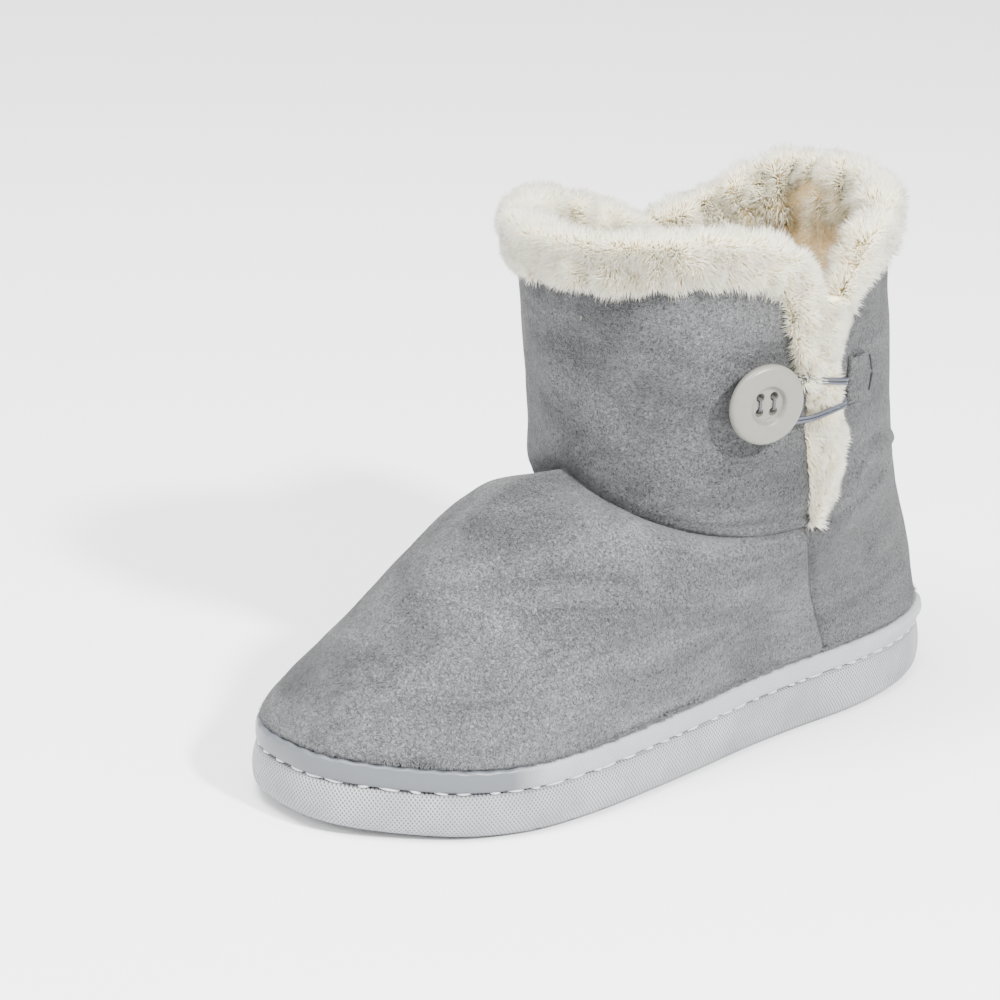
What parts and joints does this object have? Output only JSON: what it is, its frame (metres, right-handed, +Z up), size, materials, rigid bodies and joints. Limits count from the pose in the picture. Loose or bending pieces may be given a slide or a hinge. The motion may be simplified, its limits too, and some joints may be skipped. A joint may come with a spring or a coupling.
{
  "type": "bootie slipper",
  "caption": "Ankle-high lined house boot: soft napped upper, turned fleece cuff, side slit closed by a button and an elastic loop, and a ribbed rubber sole.",
  "frame": {"origin": "middle of the shoe's bounding box, on the plane the shoe stands on", "axes": "+Z up; the toe points along -Y and the heel along +Y; +X is the outer side of the left foot, with the slit and the button"},
  "size_m": [0.1118, 0.266, 0.1825],
  "materials": {
    "outsole": "light grey moulded rubber, matt",
    "welt_band": "grey trim, satin",
    "upper": "grey napped suede cloth",
    "fleece_cuff": "cream deep-pile fleece",
    "slit_fleece": "cream deep-pile fleece",
    "insole": "cream fleece over foam",
    "button": "warm grey, satin",
    "button_shank": "grey sewing thread",
    "elastic_loop": "blue-grey covered elastic",
    "loop_tab": "grey napped suede cloth"
  },
  "bodies": {
    "root": {"outsole": "outsole", "welt_band": "welt_band", "upper": "upper", "fleece_cuff": "fleece_cuff", "slit_fleece": "slit_fleece", "insole": "insole", "button": "button", "button_shank": "button_shank", "elastic_loop": "elastic_loop", "loop_tab": "loop_tab"}
  },
  "joints": []
}
